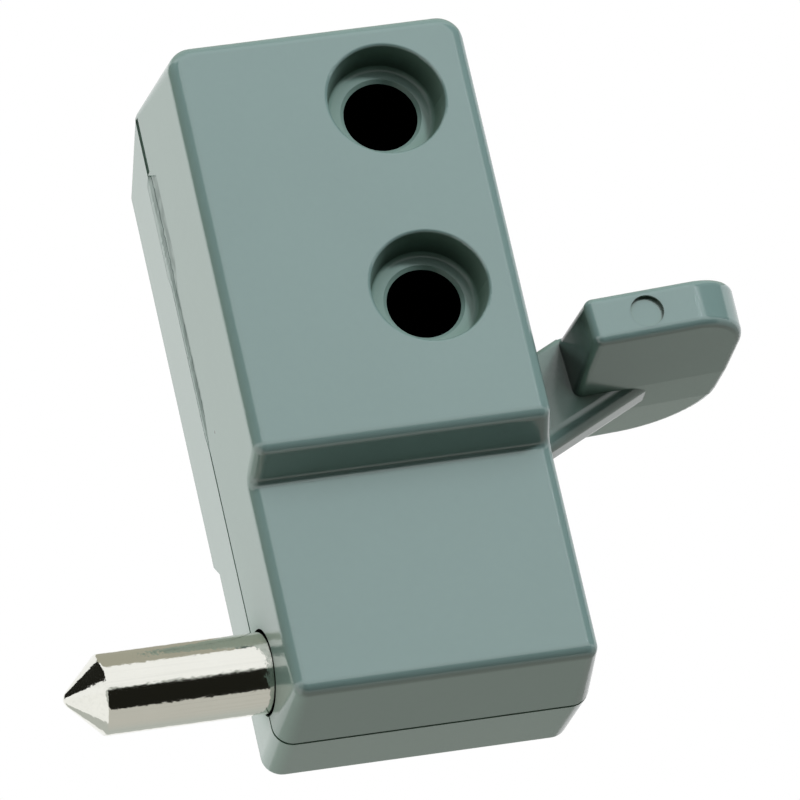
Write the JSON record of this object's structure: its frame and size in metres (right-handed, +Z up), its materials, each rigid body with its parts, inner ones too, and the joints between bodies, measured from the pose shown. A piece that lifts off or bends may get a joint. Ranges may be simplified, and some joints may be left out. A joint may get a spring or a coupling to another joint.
{
  "type": "sliding door foot lock",
  "caption": "Foot-operated sliding door lock: split cast housing with counterbored screw holes, a cone-nosed round bolt and a pivoting tread lever that throws it.",
  "frame": {"origin": "midway between the two mounting screw holes, on the back face that sits on the door", "axes": "+X towards the tread, away from the bolt's nose; +Y into the door; +Z up"},
  "size_m": [0.0716, 0.0255, 0.0687],
  "materials": {
    "front_paint": "semi-gloss grey-green paint on a casting",
    "back_paint": "semi-gloss grey-green paint on a casting",
    "lever_paint": "semi-gloss grey-green paint on a casting",
    "bolt_plating": "bright plated",
    "pin_steel": "ground",
    "spring_steel": "drawn wire",
    "screw_zinc": "zinc plated"
  },
  "bodies": {
    "housing": {"front_housing": "front_paint", "back_housing": "back_paint", "pivot_pin": "pin_steel", "detent_ball": "pin_steel", "detent_spring": "spring_steel", "housing_screws": "screw_zinc"},
    "lever": {"foot_lever": "lever_paint"},
    "bolt_body": {"bolt": "bolt_plating", "drive_pin": "pin_steel"}
  },
  "joints": [
    {"name": "lever_pivot", "type": "hinge", "parent": "housing", "child": "lever", "pos_m": [-0.0132, -0.0117, -0.00035], "axis": [0, -1, 0], "range_deg": [0, 22.8]},
    {"name": "bolt_slide", "type": "slide", "parent": "housing", "child": "bolt_body", "axis": [1, 0, 0], "range_m": [0, 0.0175]}
  ],
  "couplings": [
    {"joint": "bolt_slide", "follows": "lever_pivot", "m_per_rad": 0.043977}
  ]
}
